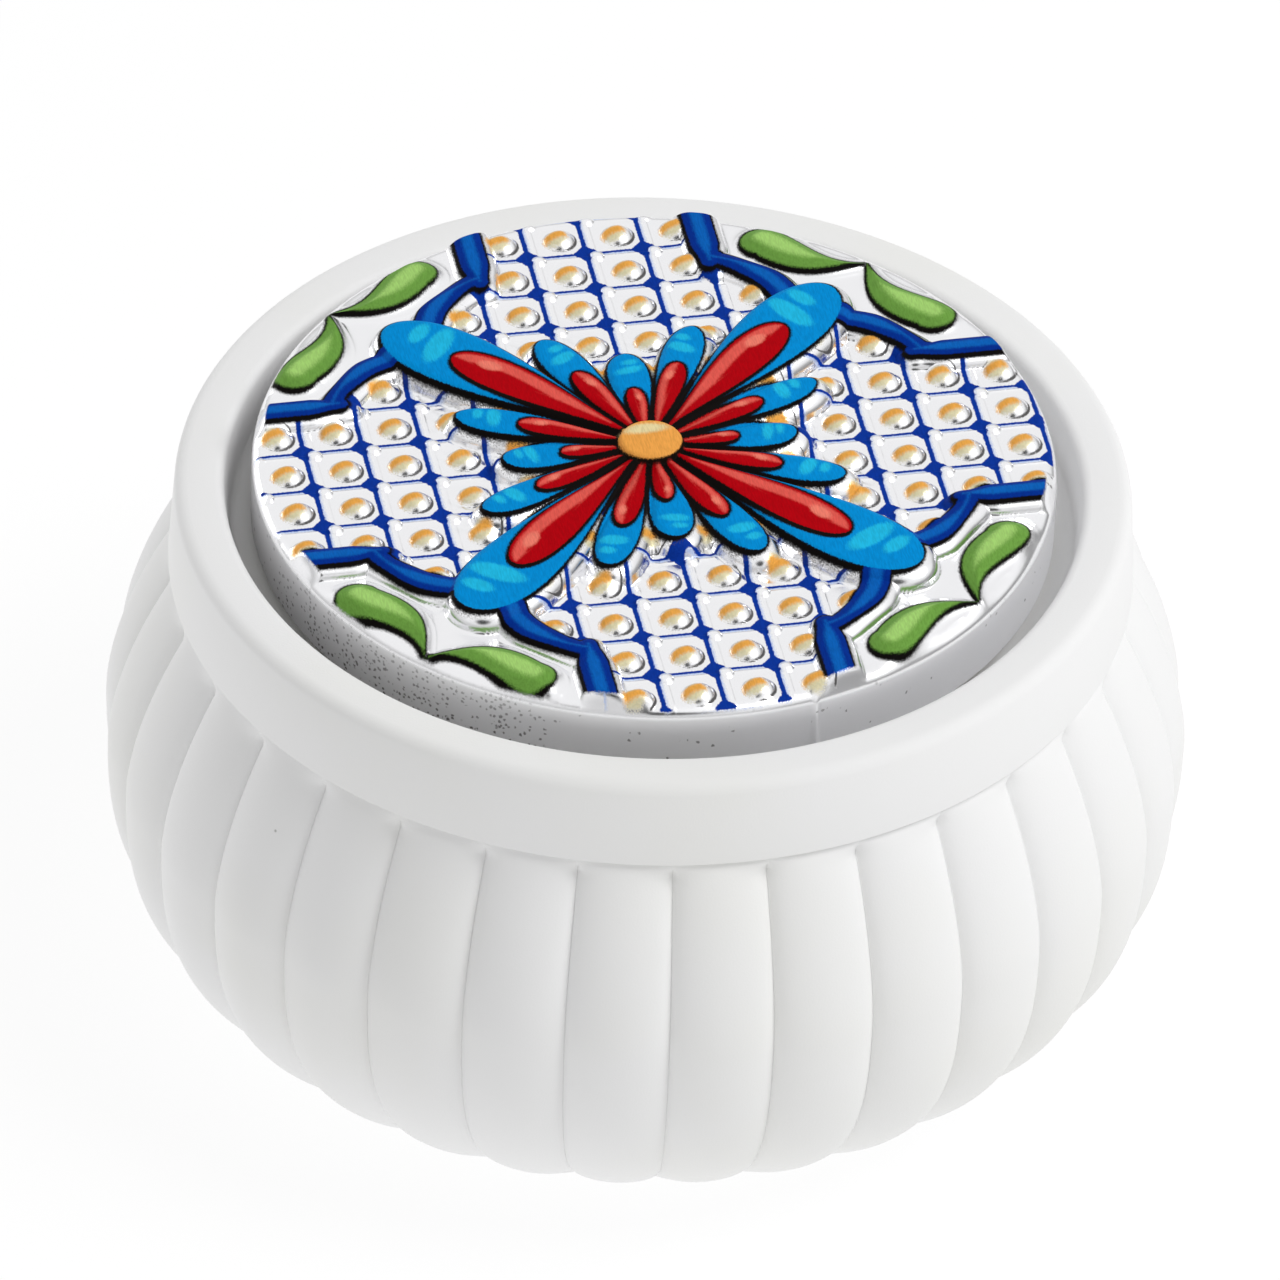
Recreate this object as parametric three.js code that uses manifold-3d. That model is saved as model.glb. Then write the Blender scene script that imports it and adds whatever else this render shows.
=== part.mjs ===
// Round keepsake box: a round-bellied ribbed bowl and a lift-off lid, both cast in unglazed white porcelain.
// A plaque lies in the lid's shallow well, on a disc of foam tape: an embossed silver skin over a resin core.
// Its relief is that of a majolica tile: a sixteen-petalled flower on a cross of dotted lattice, edged by
// bracket-shaped bands, with a pair of leaves in each corner.
// Millimetres, +Z up. The origin is the centre of the foot, and the front faces -Y.

import * as THREE from "three";
import { mergeVertices } from "three/addons/utils/BufferGeometryUtils.js";
import Module from "manifold-3d";

// Bowl
const BELLY_RADIUS = 41.9; // crest of the ribs at the widest ring
const BELLY_LEVEL = 22.5; // height of the widest ring above the foot
const BOWL_HEIGHT = 37.6; // foot to the land that the lid sits on
const SHOULDER_INSET = 0.05; // from the lid's lower edge in to the belly's top edge
const LAND_WIDTH = 4.6; // top of the wall, which carries the lid
const SHOULDER_FULLNESS = 1.61; // power of the curve from the widest ring up
const FOOT_RADIUS = 28.4;
const FOOT_FULLNESS = 2.58; // power of the curve from the widest ring down
const FOOT_RING_WIDTH = 3.2;
const FOOT_RECESS = 1.2; // how far the underside is raised inside the foot ring
const BOWL_WALL = 4.4;
const BOWL_FLOOR = 4.5;

// Ribs: shallow arched flutes that meet in sharp grooves
const RIB_COUNT = 32;
const RIB_DEPTH = 0.75;
const RIB_TURN = THREE.MathUtils.degToRad(4); // first groove, from the front towards +X
const RIB_TOP_MARGIN = 0.5; // plain band under the lid
const RIB_FOOT_MARGIN = 0.6;
const RIB_RUNOUT = 3.2; // length over which a groove fades in

// Lid
const SEAM = 0.3; // shadow line between bowl and lid
const LID_RADIUS = 37.05; // lower edge of the skirt
const LID_DRAFT = 0.35; // how much narrower the skirt is at the rim
const LID_HEIGHT = 7.1; // lower edge to rim
const RIM_OUTER_ROUND = 1.0;
const RIM_INNER_ROUND = 0.7;
const RIM_WIDTH = 3.7;
const WELL_DEPTH = 4.2;
const WELL_DRAFT = 0.6; // how much narrower the well is at its floor
const WELL_FILLET = 0.6;
const LID_SLAB = 3.4; // thickness under the well
const SPIGOT_DEPTH = 3.5; // how far the locating ring reaches into the bowl
const SPIGOT_WALL = 3.5;
const SPIGOT_ROUND = 0.5;
const SPIGOT_CLEARANCE = 0.4;

// Plaque
const PLAQUE_CLEARANCE = 2.3; // from the well's edge
const PLAQUE_THICKNESS = 5.4; // underside to the ground of the relief
const PLAQUE_EDGE_ROUND = 0.9;
const PLAQUE_TURN = THREE.MathUtils.degToRad(12.3); // how far the plaque was glued in askew
const SKIN = 0.6; // silver sheet
const LAYER_GAP = 0.1; // between tape, core and skin
const TAPE_THICKNESS = 1.0;
const TAPE_MARGIN = 2.5; // from the plaque's edge to the tape's

// Relief of the plaque. Heights are above its ground, radii are from its centre.
const BOSS = { radius: 2.6, height: 2.1, sideHeight: 1.05, shoulderRadius: 2.08, shoulderHeight: 1.85 };
const BIG_PETAL = { tip: 24.5, width: 6.0, height: 1.3, innerTip: 18.7, innerWidth: 2.5 };
const SIDE_PETAL = { tip: 14.9, width: 3.0, height: 1.1, innerTip: 10.5, innerWidth: 1.5 };
const SMALL_PETAL = { tip: 11.1, width: 2.8, height: 1.0, innerTip: 7.3, innerWidth: 1.3 };
const SIDE_PETAL_TURN = THREE.MathUtils.degToRad(23); // from the nearest arm's middle line
const PETAL_ROOT = { at: 1.2, width: 1.2 }; // where every petal starts, under the boss
const INNER_PETAL_LIFT = 0.35;
const PETAL_ROUND = 0.55; // how far a petal's edge is rounded in
const BAND = { offset: 9.1, width: 2.1, height: 0.9, cusp: 22.6 };
const BAND_ARC = { x: 6.8, y: 15.9, radius: 7.5 };
const BAND_ARC_START = THREE.MathUtils.degToRad(15);
const BAND_ARC_END = THREE.MathUtils.degToRad(72);
const LEAF = { x: 13.4, y: 24.6, length: 8.0, radius: 2.0, height: 0.8 };
const LEAF_TURN = THREE.MathUtils.degToRad(-30);
const LEAF_ROUND = 0.6;
// Control points of a leaf's two sides, as shares of its length and its radius
const LEAF_HOLLOW_SHARES = [[0.5, 0], [0.4, 0.8], [0.075, 1]];
const LEAF_FULL_SHARES = [[0.45, -1.4], [0.75, -0.9], [1, 0]];
const LEAF_END_SHARE = 0.2; // how far its round end is drawn in, as a share of its radius
const LATTICE = { across: 4.4, along: 4.55, lastRow: 28.3 };
const LATTICE_ROW_COUNT = 4;
const LATTICE_COLUMN_COUNT = 4;
const WIDER_ROW_INDEX = 2; // the row with one more dome each side, counted from the edge
const DOME = { radius: 1.15, height: 0.7 };

// Facets
const RIB_FACETS = 4;
const BELLY_ROWS = 12;
const CAVITY_ROWS = 7;
const ROUND_FACETS = 64;
const HIDDEN_FACETS = 48;
const ROUNDING_FACETS = 2;
const OUTLINE_FACETS = 3;
const BAND_FACETS = 2;
const DOME_FACETS = 6;
const DOME_ARC_SHARES = [1, 0.55, 0]; // where its rings lie, from its edge to its crown
const FLAT_ROUNDING_FACETS = 1;

const SHOULDER_RADIUS = LID_RADIUS - SHOULDER_INSET;
const MOUTH_RADIUS = SHOULDER_RADIUS - LAND_WIDTH;
const WELL_RADIUS = LID_RADIUS - LID_DRAFT - RIM_WIDTH;
const PLAQUE_RADIUS = WELL_RADIUS - PLAQUE_CLEARANCE;
const LID_LEVEL = BOWL_HEIGHT + SEAM;

const wasm = await Module();
wasm.setup();

// A closed geometry as a solid that can be joined and cut.
function solidOf(geometry) {
  geometry.deleteAttribute("normal");
  geometry.deleteAttribute("uv");
  const merged = mergeVertices(geometry);
  const corners = merged.index.array;
  const faces = [];
  for (let i = 0; i < corners.length; i += 3) {
    const [a, b, c] = corners.slice(i, i + 3);
    if (a !== b && b !== c && c !== a) faces.push(a, b, c);
  }
  return new wasm.Manifold(
    new wasm.Mesh({
      numProp: 3,
      vertProperties: merged.attributes.position.array,
      triVerts: Uint32Array.from(faces),
    }),
  );
}

function join(solids) {
  return solids.reduce((whole, next) => whole.add(next));
}

function meshOf(name, solid, material) {
  const { vertProperties, triVerts } = solid.getMesh();
  const geometry = new THREE.BufferGeometry();
  geometry.setAttribute("position", new THREE.BufferAttribute(vertProperties, 3));
  geometry.setIndex(new THREE.BufferAttribute(triVerts, 1));
  geometry.computeVertexNormals();
  const mesh = new THREE.Mesh(geometry, material);
  mesh.name = name;
  return mesh;
}

// A profile of [radius, height] points turned about +Z, from the axis round the outside and back to the axis.
function revolve(profile, facets, start = 0) {
  const points = profile.map(([radius, height]) => new THREE.Vector2(radius, height));
  return new THREE.LatheGeometry(points, facets, start, 2 * Math.PI).rotateX(Math.PI / 2);
}

// A profile whose corners are [radius, height, rounding], with each rounding drawn as an arc.
function rounded(corners) {
  return corners.flatMap(([x, y, rounding = 0], i) => {
    if (rounding === 0) return [[x, y]];
    const corner = new THREE.Vector2(x, y);
    const toPrevious = new THREE.Vector2(...corners[i - 1]).sub(corner).normalize();
    const toNext = new THREE.Vector2(...corners[i + 1]).sub(corner).normalize();
    const half = toPrevious.angleTo(toNext) / 2;
    const middle = toPrevious.clone().add(toNext).normalize();
    const centre = corner.clone().addScaledVector(middle, rounding / Math.sin(half));
    const start = corner.clone().addScaledVector(toPrevious, rounding / Math.tan(half)).sub(centre);
    const sweep = (Math.PI - 2 * half) * Math.sign(toPrevious.cross(toNext));
    return Array.from({ length: ROUNDING_FACETS + 1 }, (_, step) => {
      const angle = start.angle() - (sweep * step) / ROUNDING_FACETS;
      return [centre.x + rounding * Math.cos(angle), centre.y + rounding * Math.sin(angle)];
    });
  });
}

// How far a curve of the given fullness must reach past its rise to have the given share of its radius there.
function reachOf(rise, share, fullness) {
  return rise / (1 - share ** fullness) ** (1 / fullness);
}

// The radius of a round belly at a height: two superellipse quarters that meet at the widest ring.
function bellyRadius(belly, height) {
  const rise = height - BELLY_LEVEL;
  const [end, fullness] = rise > 0 ? [belly.top, SHOULDER_FULLNESS] : [belly.bottom, FOOT_FULLNESS];
  const reach = reachOf(Math.abs(end.height - BELLY_LEVEL), end.radius / belly.radius, fullness);
  return belly.radius * (1 - (Math.abs(rise) / reach) ** fullness) ** (1 / fullness);
}

// Profile points of a belly, closer together at its ends, closed flat at both.
function bellyProfile(belly, rows) {
  const { bottom, top } = belly;
  const heights = Array.from({ length: rows + 1 }, (_, row) =>
    THREE.MathUtils.lerp(bottom.height, top.height, (1 - Math.cos((Math.PI * row) / rows)) / 2),
  );
  return [
    [0, bottom.height],
    ...heights.map((height) => [bellyRadius(belly, height), height]),
    [0, top.height],
  ];
}

// Draws the ribs into a revolved belly: each is arched, and dies out towards the foot and the shoulder.
function fluteBelly(geometry) {
  const position = geometry.attributes.position;
  for (let i = 0; i < position.count; i++) {
    const [x, y, z] = [position.getX(i), position.getY(i), position.getZ(i)];
    const radius = Math.hypot(x, y);
    if (radius === 0) continue;
    const ribs = ((Math.atan2(x, -y) - RIB_TURN) / (2 * Math.PI)) * RIB_COUNT;
    const fromCrest = 2 * (ribs - Math.floor(ribs)) - 1;
    const above = THREE.MathUtils.smoothstep(z, RIB_FOOT_MARGIN, RIB_FOOT_MARGIN + RIB_RUNOUT);
    const below = THREE.MathUtils.smoothstep(BOWL_HEIGHT - z, RIB_TOP_MARGIN, RIB_TOP_MARGIN + RIB_RUNOUT);
    const share = 1 - (RIB_DEPTH * fromCrest ** 2 * above * below) / radius;
    position.setXY(i, x * share, y * share);
  }
  return geometry;
}

function makeBowl() {
  const outside = {
    radius: BELLY_RADIUS,
    bottom: { radius: FOOT_RADIUS, height: 0 },
    top: { radius: SHOULDER_RADIUS, height: BOWL_HEIGHT },
  };
  const inside = {
    radius: BELLY_RADIUS - BOWL_WALL,
    bottom: { radius: FOOT_RADIUS - BOWL_WALL, height: BOWL_FLOOR },
    top: { radius: MOUTH_RADIUS, height: BOWL_HEIGHT + SEAM },
  };
  const ringRadius = FOOT_RADIUS - FOOT_RING_WIDTH;
  const recess = [
    [0, -FOOT_RECESS],
    [ringRadius, -FOOT_RECESS],
    [ringRadius, FOOT_RECESS],
    [0, FOOT_RECESS],
  ];
  const body = solidOf(
    fluteBelly(revolve(bellyProfile(outside, BELLY_ROWS), RIB_COUNT * RIB_FACETS, RIB_TURN)),
  );
  return body
    .subtract(solidOf(revolve(bellyProfile(inside, CAVITY_ROWS), HIDDEN_FACETS)))
    .subtract(solidOf(revolve(recess, HIDDEN_FACETS)));
}

// The lid, from its lower edge up: skirt, rim and well above, locating ring below.
function makeLid() {
  const ceiling = LID_HEIGHT - WELL_DEPTH - LID_SLAB;
  const spigotRadius = MOUTH_RADIUS - SPIGOT_CLEARANCE;
  const profile = rounded([
    [0, ceiling],
    [spigotRadius - SPIGOT_WALL, ceiling],
    [spigotRadius - SPIGOT_WALL, -SPIGOT_DEPTH, SPIGOT_ROUND],
    [spigotRadius, -SPIGOT_DEPTH, SPIGOT_ROUND],
    [spigotRadius, 0],
    [LID_RADIUS, 0],
    [LID_RADIUS - LID_DRAFT, LID_HEIGHT, RIM_OUTER_ROUND],
    [WELL_RADIUS, LID_HEIGHT, RIM_INNER_ROUND],
    [WELL_RADIUS - WELL_DRAFT, LID_HEIGHT - WELL_DEPTH, WELL_FILLET],
    [0, LID_HEIGHT - WELL_DEPTH],
  ]);
  return solidOf(revolve(profile, ROUND_FACETS));
}

// A flat outline raised to a height with its edge rounded over. Its underside is sunk in the plate below.
function pillow(shape, height, round, facets = OUTLINE_FACETS, roundingFacets = ROUNDING_FACETS) {
  const geometry = new THREE.ExtrudeGeometry(shape, {
    depth: height + SKIN / 2 - 2 * round,
    bevelThickness: round,
    bevelSize: round,
    bevelOffset: -round,
    bevelSegments: roundingFacets,
    curveSegments: facets,
  });
  return geometry.translate(0, 0, round - SKIN / 2);
}

function mirrored(shape, facets) {
  return new THREE.Shape(shape.getPoints(facets).map(({ x, y }) => new THREE.Vector2(-x, y)));
}

// A petal that lies along +X: straight sides from the root that widen to touch the round tip.
function petalShape(tip, width) {
  const tipRadius = width / 2;
  const rootRadius = PETAL_ROOT.width / 2;
  const centre = tip - tipRadius;
  const turn = Math.acos((rootRadius - tipRadius) / (centre - PETAL_ROOT.at));
  return new THREE.Shape()
    .moveTo(PETAL_ROOT.at, -rootRadius)
    .absarc(centre, 0, tipRadius, -turn, turn, false)
    .lineTo(PETAL_ROOT.at, rootRadius);
}

// One petal of the outer row and the narrower one that lies on it.
function petalPair(petal, angle) {
  const outer = pillow(petalShape(petal.tip, petal.width), petal.height, PETAL_ROUND);
  const inner = pillow(
    petalShape(petal.innerTip, petal.innerWidth),
    petal.height + INNER_PETAL_LIFT,
    PETAL_ROUND,
    OUTLINE_FACETS,
    FLAT_ROUNDING_FACETS,
  );
  return [outer.rotateZ(angle), inner.rotateZ(angle)];
}

function flower() {
  const quarter = Math.PI / 2;
  const petals = [0, 1, 2, 3].flatMap((turn) => {
    const arm = turn * quarter;
    return [
      ...petalPair(SMALL_PETAL, arm),
      ...petalPair(SIDE_PETAL, arm + SIDE_PETAL_TURN),
      ...petalPair(SIDE_PETAL, arm - SIDE_PETAL_TURN),
      ...petalPair(BIG_PETAL, arm + quarter / 2),
    ];
  });
  const boss = revolve(
    [
      [0, -SKIN / 2],
      [BOSS.radius, -SKIN / 2],
      [BOSS.radius, BOSS.sideHeight],
      [BOSS.shoulderRadius, BOSS.shoulderHeight],
      [0, BOSS.height],
    ],
    2 * DOME_FACETS,
  );
  return [...petals, boss];
}

// The band beside one arm of the cross: straight in from the edge, then round to the big petal.
function bandShapes() {
  const { offset, width, cusp } = BAND;
  const { x, y, radius } = BAND_ARC;
  const straight = new THREE.Shape()
    .moveTo(offset - width / 2, cusp)
    .lineTo(offset + width / 2, cusp)
    .lineTo(offset + width / 2, PLAQUE_RADIUS)
    .lineTo(offset - width / 2, PLAQUE_RADIUS);
  const curved = new THREE.Shape()
    .absarc(x, y, radius + width / 2, BAND_ARC_START, BAND_ARC_END, false)
    .absarc(x, y, radius - width / 2, BAND_ARC_END, BAND_ARC_START, true);
  return [straight, curved];
}

// A leaf with a round end and a point, one side full and the other hollow towards the point.
function leafShape() {
  const { length, radius } = LEAF;
  const controls = (side) => side.flatMap(([along, aside]) => [along * length, aside * radius]);
  return new THREE.Shape()
    .moveTo(length, 0)
    .bezierCurveTo(...controls(LEAF_HOLLOW_SHARES))
    .absarc(LEAF_END_SHARE * radius, 0, radius, Math.PI / 2, (3 * Math.PI) / 2, false)
    .bezierCurveTo(...controls(LEAF_FULL_SHARES));
}

// One arm's share of the relief, drawn on the arm that points along +Y, once as it is and once mirrored.
function armShapes() {
  const leaf = new THREE.Shape(
    leafShape()
      .getPoints(OUTLINE_FACETS)
      .map((point) => point.rotateAround(new THREE.Vector2(), LEAF_TURN))
      .map((point) => point.add(new THREE.Vector2(LEAF.x, LEAF.y))),
  );
  const bands = bandShapes();
  return [
    ...[leaf, mirrored(leaf, OUTLINE_FACETS)].map((shape) => pillow(shape, LEAF.height, LEAF_ROUND)),
    ...[...bands, ...bands.map((shape) => mirrored(shape, BAND_FACETS))].map((shape) =>
      pillow(shape, BAND.height, PETAL_ROUND, BAND_FACETS, FLAT_ROUNDING_FACETS),
    ),
  ];
}

// The lattice's domes on one arm: four columns, and one more each side where the arm widens.
function armDomes() {
  const cap = (x, y) => {
    const radius = (DOME.radius ** 2 + DOME.height ** 2) / (2 * DOME.height);
    const half = Math.asin(DOME.radius / radius);
    const arc = DOME_ARC_SHARES.map((share) => [
      radius * Math.sin(share * half),
      radius * (Math.cos(share * half) - Math.cos(half)),
    ]);
    return revolve([[0, -SKIN / 2], [DOME.radius, -SKIN / 2], ...arc], DOME_FACETS).translate(x, y, 0);
  };
  const domes = [];
  for (let row = 0; row < LATTICE_ROW_COUNT; row++) {
    const columns = LATTICE_COLUMN_COUNT + (row === WIDER_ROW_INDEX ? 2 : 0);
    for (let column = 0; column < columns; column++) {
      const x = (column - (columns - 1) / 2) * LATTICE.across;
      domes.push(cap(x, LATTICE.lastRow - row * LATTICE.along));
    }
  }
  return domes;
}

function makeSkin() {
  const ground = PLAQUE_THICKNESS;
  const plate = rounded([
    [0, 0],
    [PLAQUE_RADIUS, 0],
    [PLAQUE_RADIUS, ground, PLAQUE_EDGE_ROUND],
    [0, ground],
  ]);
  const hollow = [
    [0, -SKIN],
    [PLAQUE_RADIUS - SKIN, -SKIN],
    [PLAQUE_RADIUS - SKIN, ground - SKIN],
    [0, ground - SKIN],
  ];
  const cutter = [
    [0, -SKIN],
    [PLAQUE_RADIUS - PLAQUE_EDGE_ROUND / 2, -SKIN],
    [PLAQUE_RADIUS - PLAQUE_EDGE_ROUND / 2, BOSS.height + SKIN],
    [0, BOSS.height + SKIN],
  ];
  const arms = [0, 1, 2, 3].flatMap((turn) =>
    [...armShapes(), ...armDomes()].map((geometry) => geometry.rotateZ((turn * Math.PI) / 2)),
  );
  const onGround = (geometry) => solidOf(geometry.translate(0, 0, ground));
  const relief = join([...flower(), ...arms].map(onGround))
    .intersect(onGround(revolve(cutter, ROUND_FACETS)));
  return solidOf(revolve(plate, ROUND_FACETS))
    .add(relief)
    .subtract(solidOf(revolve(hollow, HIDDEN_FACETS)));
}

function disc(radius, thickness) {
  return solidOf(
    revolve([[0, 0], [radius, 0], [radius, thickness], [0, thickness]], HIDDEN_FACETS),
  );
}

const porcelain = new THREE.MeshStandardMaterial({ color: 0xf2f1ee, roughness: 0.85 });
const silver = new THREE.MeshStandardMaterial({ color: 0xd8dadc, roughness: 0.28, metalness: 1 });
const resin = new THREE.MeshStandardMaterial({ color: 0xe6dfcb, roughness: 0.6 });
const foam = new THREE.MeshStandardMaterial({ color: 0xf4f4f0, roughness: 1 });

const tapeLevel = LAYER_GAP;
const plaqueLevel = tapeLevel + TAPE_THICKNESS + LAYER_GAP;
const coreRadius = PLAQUE_RADIUS - SKIN - LAYER_GAP;

const tape = meshOf("foam_tape_disc", disc(PLAQUE_RADIUS - TAPE_MARGIN, TAPE_THICKNESS), foam);
tape.position.z = tapeLevel;
const core = meshOf("plaque_core", disc(coreRadius, PLAQUE_THICKNESS - SKIN - LAYER_GAP), resin);
const skin = meshOf("plaque_skin", makeSkin(), silver);
const plaque = new THREE.Group().add(core, skin);
plaque.position.z = plaqueLevel;

const well = new THREE.Group().add(tape, plaque);
well.position.z = LID_HEIGHT - WELL_DEPTH;
well.rotation.z = PLAQUE_TURN;

const lid = new THREE.Group().add(meshOf("lid", makeLid(), porcelain), well);
lid.position.z = LID_LEVEL;

const group = new THREE.Group().add(meshOf("bowl", makeBowl(), porcelain), lid);

export default group;
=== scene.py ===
# A round keepsake box of unglazed white porcelain: a ribbed bowl, a lift-off lid, and in the lid's well a
# plaque of embossed silver sheet, printed like a majolica tile.
# Sizes are in millimetres until MM takes them to metres.
from math import cos, hypot, pi, radians, sin, sqrt

import bmesh
import bpy
import numpy as np
from mathutils import Matrix, Quaternion, Vector


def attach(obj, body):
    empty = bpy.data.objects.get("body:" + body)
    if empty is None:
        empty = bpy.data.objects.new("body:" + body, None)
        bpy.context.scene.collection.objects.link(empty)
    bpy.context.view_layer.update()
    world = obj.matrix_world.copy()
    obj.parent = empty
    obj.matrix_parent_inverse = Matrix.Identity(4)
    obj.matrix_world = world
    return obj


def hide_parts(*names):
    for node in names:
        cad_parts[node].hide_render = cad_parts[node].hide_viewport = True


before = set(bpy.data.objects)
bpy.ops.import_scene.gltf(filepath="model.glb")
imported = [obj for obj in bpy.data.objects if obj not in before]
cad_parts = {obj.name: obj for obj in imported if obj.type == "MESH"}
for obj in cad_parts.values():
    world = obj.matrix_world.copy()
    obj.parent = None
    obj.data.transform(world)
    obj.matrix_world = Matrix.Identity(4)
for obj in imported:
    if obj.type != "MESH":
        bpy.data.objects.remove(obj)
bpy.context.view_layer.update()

MM = 0.001

# Camera: a long lens far off, looking down on the box from the front, held a little askew.
# The eye and the point it looks at are in the box's own frame.
EYE = Vector((0, -880.8, 740.1)) * MM
LOOKS_AT = Vector((-0.6, 0, 29.4)) * MM
CAMERA_ROLL = radians(2.18)
SENSOR = 36
LENS = 411.7

view = bpy.data.cameras.new("camera")
view.sensor_width = SENSOR
view.lens = LENS
view.clip_end = 20
camera = bpy.data.objects.new("camera", view)
bpy.context.collection.objects.link(camera)
camera.location = EYE
level = (LOOKS_AT - EYE).to_track_quat("-Z", "Y")
camera.rotation_mode = "QUATERNION"
camera.rotation_quaternion = level @ Quaternion((0, 0, 1), CAMERA_ROLL)
bpy.context.scene.camera = camera
bpy.context.scene.view_settings.view_transform = "Standard"


# Studio: a white light table in a grey tent, with a soft lamp at the upper right and a weak one behind the
# left side. The metal mirrors the tent, with a dark opening in it for the lens and a dark strip at the right.
# The table glows, so the box's shadow on it is faint.
def linear(code):
    """A colour written as an sRGB hex value, in linear light."""
    channels = [int(code[at : at + 2], 16) / 255 for at in (0, 2, 4)]
    return [c / 12.92 if c <= 0.04045 else ((c + 0.055) / 1.055) ** 2.4 for c in channels] + [1]


def add_node(tree, kind, inputs=None, **settings):
    """A node with its settings, and its sockets set or linked."""
    node = tree.nodes.new(kind)
    for name, value in settings.items():
        setattr(node, name, value)
    for socket, value in (inputs or {}).items():
        if isinstance(value, bpy.types.NodeSocket):
            tree.links.new(value, node.inputs[socket])
        else:
            node.inputs[socket].default_value = value
    return node


TENT_LIGHT = 0.47
TENT_MIRRORED = dict(low=-0.1, high=0.6, low_shine=0.5, high_shine=0.95)
LENS_OPENING = dict(inner=radians(13), outer=radians(18), shine=0.02)
DARK_STRIP = dict(high=0.34, fade=0.08, left=0.5, right=0.65, shine=0.5)
LAMPS = [
    ("right_lamp", Vector((447, -97, 685)) * MM, 0.45, 3.25),
    ("left_lamp", Vector((-600, 500, 190)) * MM, 0.4, 1.12),
]
TABLE_SIZE = 30
TABLE_COLOUR = linear("f4f4f4")
TABLE_GLOW = 1.04
SHADOW_SHARE = 0.15

world = bpy.data.worlds.new("white_tent")
bpy.context.scene.world = world
world.use_nodes = True
tent = world.node_tree
tent.nodes.clear()
direction = add_node(tent, "ShaderNodeTexCoord").outputs["Generated"]
sideways, _, height = add_node(tent, "ShaderNodeSeparateXYZ", {0: direction}).outputs
wall_shade = add_node(
    tent,
    "ShaderNodeMapRange",
    {
        "Value": height,
        1: TENT_MIRRORED["low"],
        2: TENT_MIRRORED["high"],
        3: TENT_MIRRORED["low_shine"],
        4: TENT_MIRRORED["high_shine"],
    },
    interpolation_type="SMOOTHSTEP",
).outputs[0]
towards_lens = (EYE - LOOKS_AT).normalized()
facing = add_node(tent, "ShaderNodeVectorMath", {0: direction, 1: towards_lens}, operation="DOT_PRODUCT")
opening = add_node(
    tent,
    "ShaderNodeMapRange",
    {
        "Value": facing.outputs["Value"],
        1: cos(LENS_OPENING["outer"]),
        2: cos(LENS_OPENING["inner"]),
        3: 1,
        4: LENS_OPENING["shine"],
    },
).outputs[0]
strip_full = DARK_STRIP["high"] - DARK_STRIP["fade"]
low = add_node(
    tent, "ShaderNodeMapRange", {"Value": height, 1: DARK_STRIP["high"], 2: strip_full}
).outputs[0]
beside = add_node(
    tent, "ShaderNodeMapRange", {"Value": sideways, 1: DARK_STRIP["left"], 2: DARK_STRIP["right"]}
).outputs[0]
strip = add_node(tent, "ShaderNodeMath", {0: low, 1: beside}, operation="MULTIPLY").outputs[0]
gap = add_node(
    tent, "ShaderNodeMapRange", {"Value": strip, 1: 0, 2: 1, 3: 1, 4: DARK_STRIP["shine"]}
).outputs[0]
open_wall = add_node(tent, "ShaderNodeMath", {0: wall_shade, 1: gap}, operation="MULTIPLY").outputs[0]
reflected = add_node(tent, "ShaderNodeMath", {0: open_wall, 1: opening}, operation="MULTIPLY").outputs[0]
rays = add_node(tent, "ShaderNodeLightPath").outputs
for_metal = add_node(
    tent, "ShaderNodeMix", {"Factor": rays["Is Glossy Ray"], 2: TENT_LIGHT, 3: reflected}
).outputs[0]
for_all = add_node(tent, "ShaderNodeMix", {"Factor": rays["Is Camera Ray"], 2: for_metal, 3: 1}).outputs[0]
glow = add_node(tent, "ShaderNodeBackground", {"Color": (1, 1, 1, 1), "Strength": for_all})
add_node(tent, "ShaderNodeOutputWorld", {"Surface": glow.outputs[0]})

for name, place, size, power in LAMPS:
    lamp = bpy.data.lights.new(name, "AREA")
    lamp.shape = "DISK"
    lamp.size = size
    lamp.energy = power
    holder = bpy.data.objects.new(name, lamp)
    holder.location = place
    holder.rotation_mode = "QUATERNION"
    holder.rotation_quaternion = (LOOKS_AT - place).to_track_quat("-Z", "Y")
    bpy.context.collection.objects.link(holder)

bm = bmesh.new()
bmesh.ops.create_grid(bm, x_segments=1, y_segments=1, size=TABLE_SIZE / 2)
table_mesh = bpy.data.meshes.new("table")
bm.to_mesh(table_mesh)
bm.free()
table = bpy.data.objects.new("table", table_mesh)
bpy.context.collection.objects.link(table)
acrylic = bpy.data.materials.new("glowing_white_acrylic")
acrylic.use_nodes = True
tree = acrylic.node_tree
tree.nodes.clear()
matt = add_node(tree, "ShaderNodeBsdfDiffuse", {"Color": TABLE_COLOUR}).outputs[0]
lit = add_node(tree, "ShaderNodeEmission", {"Color": (1, 1, 1, 1), "Strength": TABLE_GLOW}).outputs[0]
surface = add_node(tree, "ShaderNodeMixShader", {0: SHADOW_SHARE, 1: lit, 2: matt}).outputs[0]
add_node(tree, "ShaderNodeOutputMaterial", {"Surface": surface})
table_mesh.materials.append(acrylic)


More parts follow.
